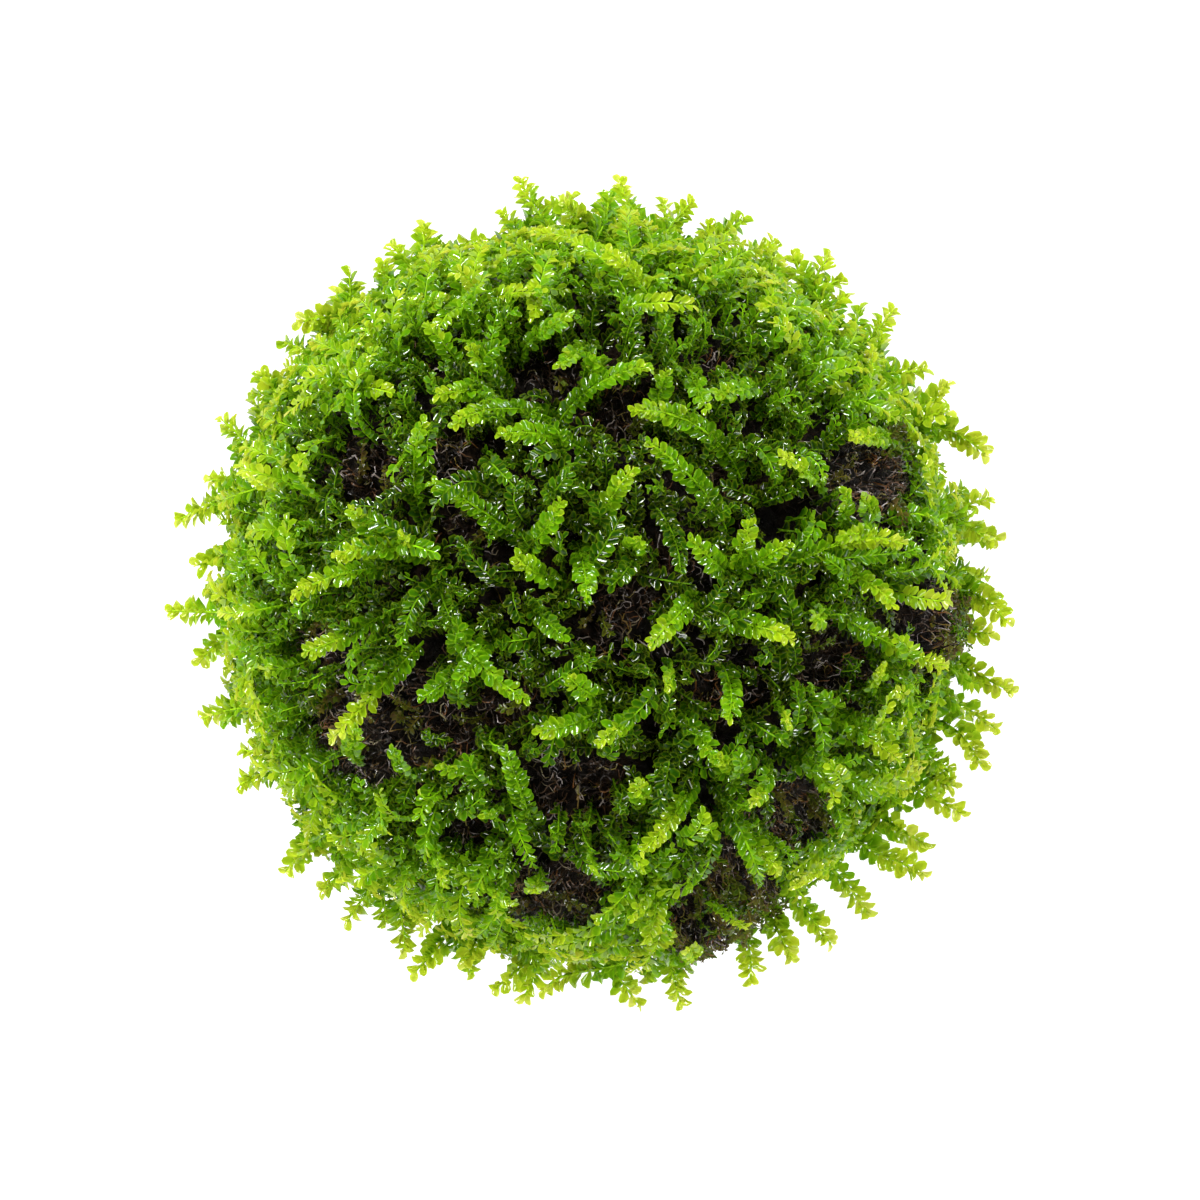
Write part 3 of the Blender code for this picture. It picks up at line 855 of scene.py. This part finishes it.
def rhizoid_piece():
    """Threads matted over the peat and standing off it in loops, thickest where no moss covers it."""
    sheaf = Sheaf()
    made = 0
    while made < RHIZOID_COUNT:
        way = unit(RNG.normal(0, 1, 3))
        bare = on_bare_patch((way * PEAT_RADIUS)[None], PATCH_FOR_RHIZOIDS)
        if not bare and RNG.uniform() < RHIZOIDS_HIDDEN:
            continue
        made += 1
        line, end_way = thread(way)
        facing = unit(end_way + RNG.normal(0, 0.5, 3))
        sideways = unit(np.cross(np.gradient(line, axis=0), facing))
        taper = np.sin(np.linspace(0.5, math.pi - 0.4, len(line))) ** 0.5
        widths = RNG.uniform(*RHIZOID_WIDTHS) * MM * taper
        points, faces, cells = strip(line, widths, sideways)
        sheaf.add(points, faces, cells, tone=RNG.uniform() ** 1.7)
    return sheaf.build("rhizoids", rhizoid_material())


# ---------------------------------------------------------------- the studio

FLOOR_WIDTH = 6.0
FLOOR_GLOW = 1.0
FLOOR_GREY = 0.2
SKY_STRENGTH = 0.045
SKY_GREYS = ((0.15, 1.0), (0.85, 0.12))  # heights, from 0, level, to 1, overhead, and the greys there

# Lamps: name, bearing and elevation in degrees, and power in watts
SOFT_LAMPS = (
    ("key", 115, 34, 8.0),
    ("back", 50, 24, 4.2),
    ("right", 350, 24, 4.5),
    ("front", 262, 26, 4.2),
    ("left", 185, 24, 5.8),
)
SPARK_LAMPS = (
    ("spark_back", 135, 60, 0.80),
    ("spark_right", 20, 62, 0.60),
    ("spark_front", 262, 58, 0.60),
)
SOFT_DISTANCE, SOFT_SIZE = 0.80, 0.16
SPARK_DISTANCE, SPARK_SIZE = 0.45, 0.09


def make_stage():
    """A white floor that glows a little, as a light table does."""
    bpy.ops.mesh.primitive_plane_add(size=FLOOR_WIDTH, location=(0, 0, 0))
    floor = bpy.context.object
    floor.name = "floor"
    n = Nodes("floor")
    n.set(n.shader, "Base Color", (FLOOR_GREY, FLOOR_GREY, FLOOR_GREY, 1))
    n.set(n.shader, "Roughness", 0.9)
    n.set(n.shader, "Specular IOR Level", 0.1)
    n.set(n.shader, "Emission Color", (1, 1, 1, 1))
    n.set(n.shader, "Emission Strength", FLOOR_GLOW)
    floor.data.materials.append(n.material)


def make_light(name, bearing, elevation, power, distance, size):
    """A round light, aimed at the ball from a bearing and elevation in degrees."""
    b, e = math.radians(bearing), math.radians(elevation)
    away = Vector((math.cos(b) * math.cos(e), math.sin(b) * math.cos(e), math.sin(e)))
    lamp = bpy.data.lights.new(name, "AREA")
    lamp.shape = "DISK"
    lamp.size = size
    lamp.energy = power
    light = bpy.data.objects.new(name, lamp)
    light.location = Vector(CENTRE) + away * distance
    light.rotation_euler = away.to_track_quat("Z", "Y").to_euler()
    bpy.context.collection.objects.link(light)


def make_sky():
    """Light from all sides, strongest near the level and weak from above."""
    world = bpy.data.worlds.new("studio")
    world.use_nodes = True
    tree = world.node_tree
    place = tree.nodes.new("ShaderNodeTexCoord")
    split = tree.nodes.new("ShaderNodeSeparateXYZ")
    ramp = tree.nodes.new("ShaderNodeValToRGB")
    tree.links.new(place.outputs["Generated"], split.inputs[0])
    tree.links.new(split.outputs["Z"], ramp.inputs[0])
    tree.links.new(ramp.outputs["Color"], tree.nodes["Background"].inputs["Color"])
    for element, (height, grey) in zip(ramp.color_ramp.elements, SKY_GREYS):
        element.position = height
        element.color = (grey, grey, grey, 1.0)
    tree.nodes["Background"].inputs["Strength"].default_value = SKY_STRENGTH
    bpy.context.scene.world = world


def make_studio():
    """The floor, the sky, soft lamps low round the ball, and small high ones that make wet leaves glint."""
    make_stage()
    make_sky()
    for lamp in SOFT_LAMPS:
        make_light(*lamp, SOFT_DISTANCE, SOFT_SIZE)
    for lamp in SPARK_LAMPS:
        make_light(*lamp, SPARK_DISTANCE, SPARK_SIZE)
    bpy.context.scene.view_settings.view_transform = "Standard"


def make_camera():
    """A camera straight above the ball."""
    lens = bpy.data.cameras.new("camera")
    lens.lens = CAMERA_LENS
    lens.sensor_width = 36.0
    lens.clip_start = 0.01
    camera = bpy.data.objects.new("camera", lens)
    camera.location = (CAMERA_ASIDE[0], CAMERA_ASIDE[1], CENTRE[2] + CAMERA_DISTANCE)
    bpy.context.collection.objects.link(camera)
    bpy.context.scene.camera = camera


# ---------------------------------------------------------------- everything

make_camera()
make_studio()

core = core_piece()
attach(core, "root")
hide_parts(CORE_NODE)
threads = rhizoid_piece()
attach(threads, "root")

for shoot in RIM_SHOOTS:
    grow_rim_shoot(*shoot)
for shoot in FACE_SHOOTS:
    grow_face_shoot(*shoot)
grow_fringe()
grow_fill()

moss = leaf_material()
for node, sheaf in sheaves.items():
    tuft = sheaf.build(node + "_shoots", moss)
    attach(tuft, "root")
    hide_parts(node)
